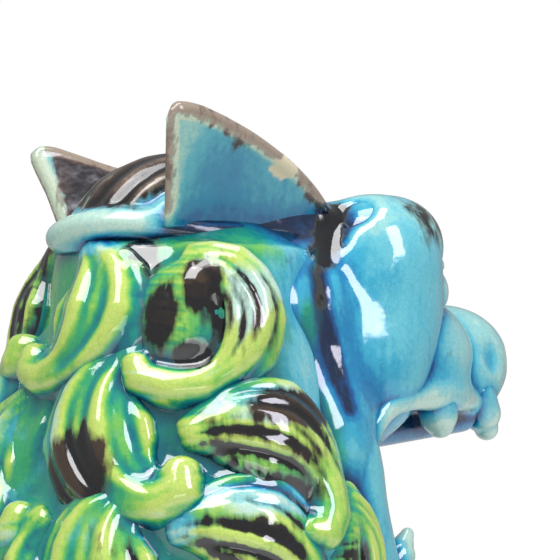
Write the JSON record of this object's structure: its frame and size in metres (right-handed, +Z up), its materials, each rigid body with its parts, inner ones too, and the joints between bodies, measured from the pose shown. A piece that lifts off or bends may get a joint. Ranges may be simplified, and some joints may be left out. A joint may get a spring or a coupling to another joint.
{
  "type": "foo dog statue",
  "caption": "Seated guardian lion of glazed stoneware on a pierced rectangular plinth, with upright ears, a mane of rolled curls, an open jaw and a ball under one forepaw.",
  "frame": {"origin": "centre of the plinth's footprint, on the surface that it stands on", "axes": "+Z up; -Y is the way that the dog faces; +X is the dog's left side"},
  "size_m": [0.104, 0.16, 0.3195],
  "materials": {
    "body_glaze": "glossy turquoise lead glaze, fired, finely crackled, deep blue where it pools",
    "mane_glaze": "glossy turquoise and green glaze with brown-black comb marks, fired, finely crackled",
    "crest_glaze": "glossy brown-black streaked glaze over turquoise, fired",
    "ear_glaze": "glossy turquoise glaze with a brown rim, fired, finely crackled",
    "dark_glaze": "glossy manganese brown-black glaze, fired",
    "jaw_glaze": "glossy yellow-green to turquoise glaze, fired, finely crackled",
    "eye_glaze": "glossy pale glaze with a dark pupil, fired",
    "tooth_glaze": "glossy pale cream glaze, fired",
    "ball_glaze": "glossy amber-yellow glaze, fired",
    "plinth_glaze": "glossy turquoise glaze with brown-black runs, fired; bare clay under the foot"
  },
  "bodies": {
    "root": {"ball": "ball_glaze", "ball_ribbon": "dark_glaze", "beard_curls": "dark_glaze", "bell": "ball_glaze", "brow_left": "dark_glaze", "brow_right": "dark_glaze", "collar": "dark_glaze", "crest": "crest_glaze", "ear_left": "ear_glaze", "ear_right": "ear_glaze", "elbow_tufts": "dark_glaze", "eye_left": "eye_glaze", "eye_right": "eye_glaze", "front_claws": "tooth_glaze", "front_leg_left": "body_glaze", "front_leg_right": "body_glaze", "front_paw_left": "body_glaze", "front_paw_right": "body_glaze", "haunch_left": "body_glaze", "haunch_right": "body_glaze", "head_shell": "body_glaze", "hind_claws": "tooth_glaze", "hind_paw_left": "body_glaze", "hind_paw_right": "body_glaze", "lower_jaw": "jaw_glaze", "lower_teeth": "tooth_glaze", "mane_curls_row_1": "mane_glaze", "mane_curls_row_2": "mane_glaze", "mane_curls_row_3": "mane_glaze", "mane_curls_row_4": "mane_glaze", "mane_curls_row_5": "mane_glaze", "neck_shell": "body_glaze", "nose": "body_glaze", "plinth_box": "plinth_glaze", "plinth_slab": "plinth_glaze", "tail": "body_glaze", "tail_curls": "dark_glaze", "tongue": "dark_glaze", "trunk_left": "body_glaze", "trunk_right": "body_glaze", "upper_jaw": "body_glaze", "upper_teeth": "tooth_glaze"}
  },
  "joints": []
}
